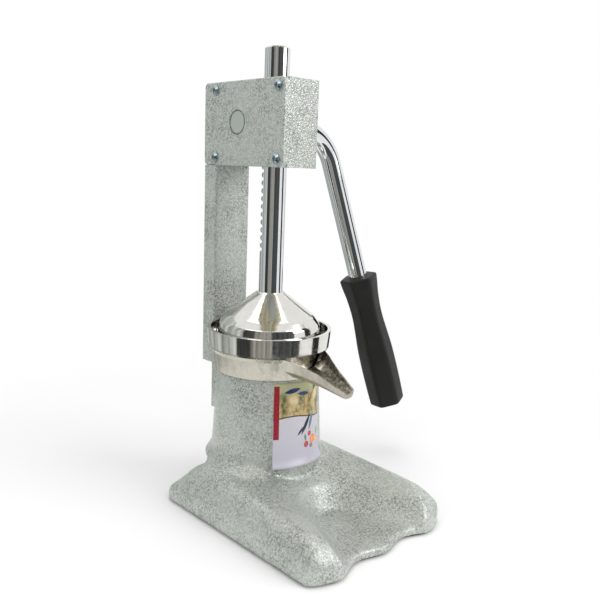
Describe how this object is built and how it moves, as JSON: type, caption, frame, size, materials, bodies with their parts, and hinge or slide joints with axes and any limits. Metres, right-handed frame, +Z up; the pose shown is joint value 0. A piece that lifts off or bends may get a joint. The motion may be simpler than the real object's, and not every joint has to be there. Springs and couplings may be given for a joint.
{
  "type": "lever citrus juice press",
  "caption": "Upright hand press for citrus fruit: a side lever turns a pinion that drives a toothed rod and bell down on a ribbed strainer over a spouted cup and tray base.",
  "frame": {"origin": "on the press axis, in the sole of the rubber pad under the base", "axes": "+Z up along the toothed rod, -Y towards the spout and tray, +X towards the lever"},
  "size_m": [0.2421, 0.2097, 0.371],
  "materials": {
    "hammertone": "silver-grey hammertone enamel with dark veins",
    "zinc": "zinc-plated steel",
    "gear_steel": "machined, oiled steel",
    "chrome": "bright chrome plate",
    "polished_aluminium": "mirror polished",
    "cast_aluminium": "satin, rubbed casting",
    "black_plastic": "satin black",
    "foot_rubber": "matte"
  },
  "bodies": {
    "frame": {"base_casting": "hammertone", "pedestal_casting": "hammertone", "base_pad": "foot_rubber", "upright_casting": "hammertone", "gear_cover": "hammertone", "cover_screws": "zinc", "frame_bolts": "zinc", "frame_washers": "zinc", "frame_spring_washers": "zinc", "spout_bowl": "cast_aluminium", "strainer_cup": "polished_aluminium", "foot_front_left": "foot_rubber", "foot_front_right": "foot_rubber", "foot_rear_left": "foot_rubber", "foot_rear_right": "foot_rubber"},
    "lever": {"lever_bar": "chrome", "lever_grip": "black_plastic", "pinion_gear": "gear_steel", "pinion_pin": "gear_steel"},
    "rack": {"rack_rod": "chrome", "press_bell": "polished_aluminium", "bell_screw": "zinc", "bell_washer": "zinc"}
  },
  "joints": [
    {"name": "lever_hinge", "type": "hinge", "parent": "frame", "child": "lever", "pos_m": [0, 0.026, 0.3135], "axis": [-1, 0, 0], "range_deg": [0, 220]},
    {"name": "rack_slide", "type": "slide", "parent": "frame", "child": "rack", "axis": [0, 0, 1], "range_m": [0, 0.0845]}
  ],
  "couplings": [
    {"joint": "rack_slide", "follows": "lever_hinge", "m_per_rad": 0.022}
  ]
}
